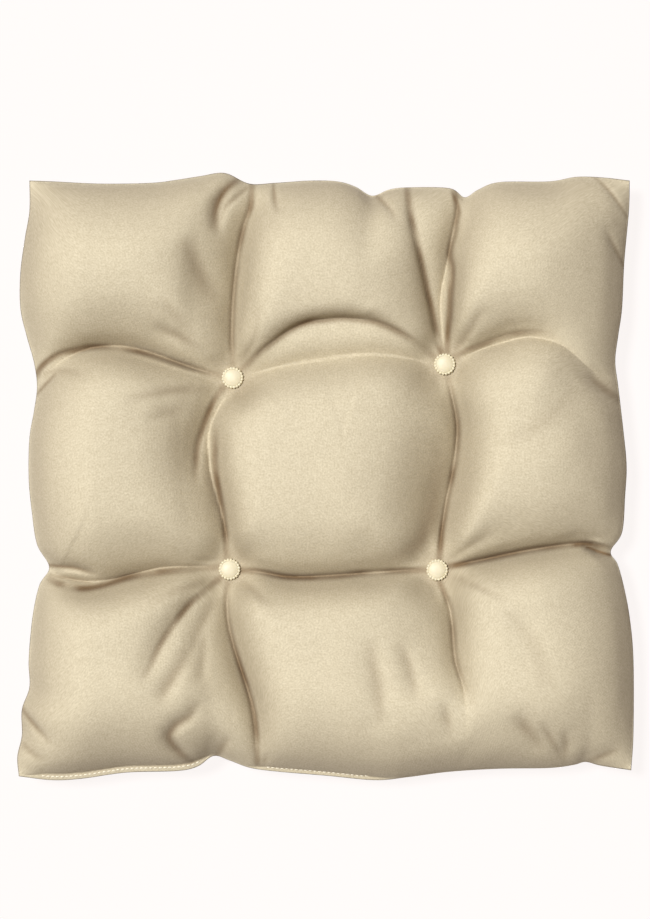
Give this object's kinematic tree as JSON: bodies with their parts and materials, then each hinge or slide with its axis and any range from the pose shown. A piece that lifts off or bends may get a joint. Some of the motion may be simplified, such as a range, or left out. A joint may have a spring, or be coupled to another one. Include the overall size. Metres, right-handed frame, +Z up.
{
  "type": "tufted seat pad",
  "caption": "Square knife-edge seat pad of two fabric panels over fibre filling, quilted into pillows by buttoned tufts.",
  "frame": {"origin": "middle of the footprint, on the surface that the pad lies on", "axes": "+Z up through the pad's thickness, +X to the right and +Y to the back; the front edge with the closing seam faces -Y"},
  "size_m": [0.402, 0.396, 0.08],
  "materials": {
    "cover_fabric": "matt woven cotton blend",
    "fibre": "white bonded polyester fibre",
    "thread": "spun polyester thread",
    "cord": "waxed twisted cord",
    "button_plastic": "semi-gloss moulded plastic"
  },
  "bodies": {
    "root": {"top_cover": "cover_fabric", "bottom_cover": "cover_fabric", "fibre_filling": "fibre", "seam_margin": "cover_fabric", "edge_seam_thread": "thread", "closing_stitches": "thread", "top_button_back_left": "button_plastic", "top_button_back_right": "button_plastic", "top_button_front_left": "button_plastic", "top_button_front_right": "button_plastic", "under_button_back_left": "button_plastic", "under_button_back_right": "button_plastic", "under_button_front_left": "button_plastic", "under_button_front_right": "button_plastic", "tuft_cord_back_left": "cord", "tuft_cord_back_right": "cord", "tuft_cord_front_left": "cord", "tuft_cord_front_right": "cord"}
  },
  "joints": []
}
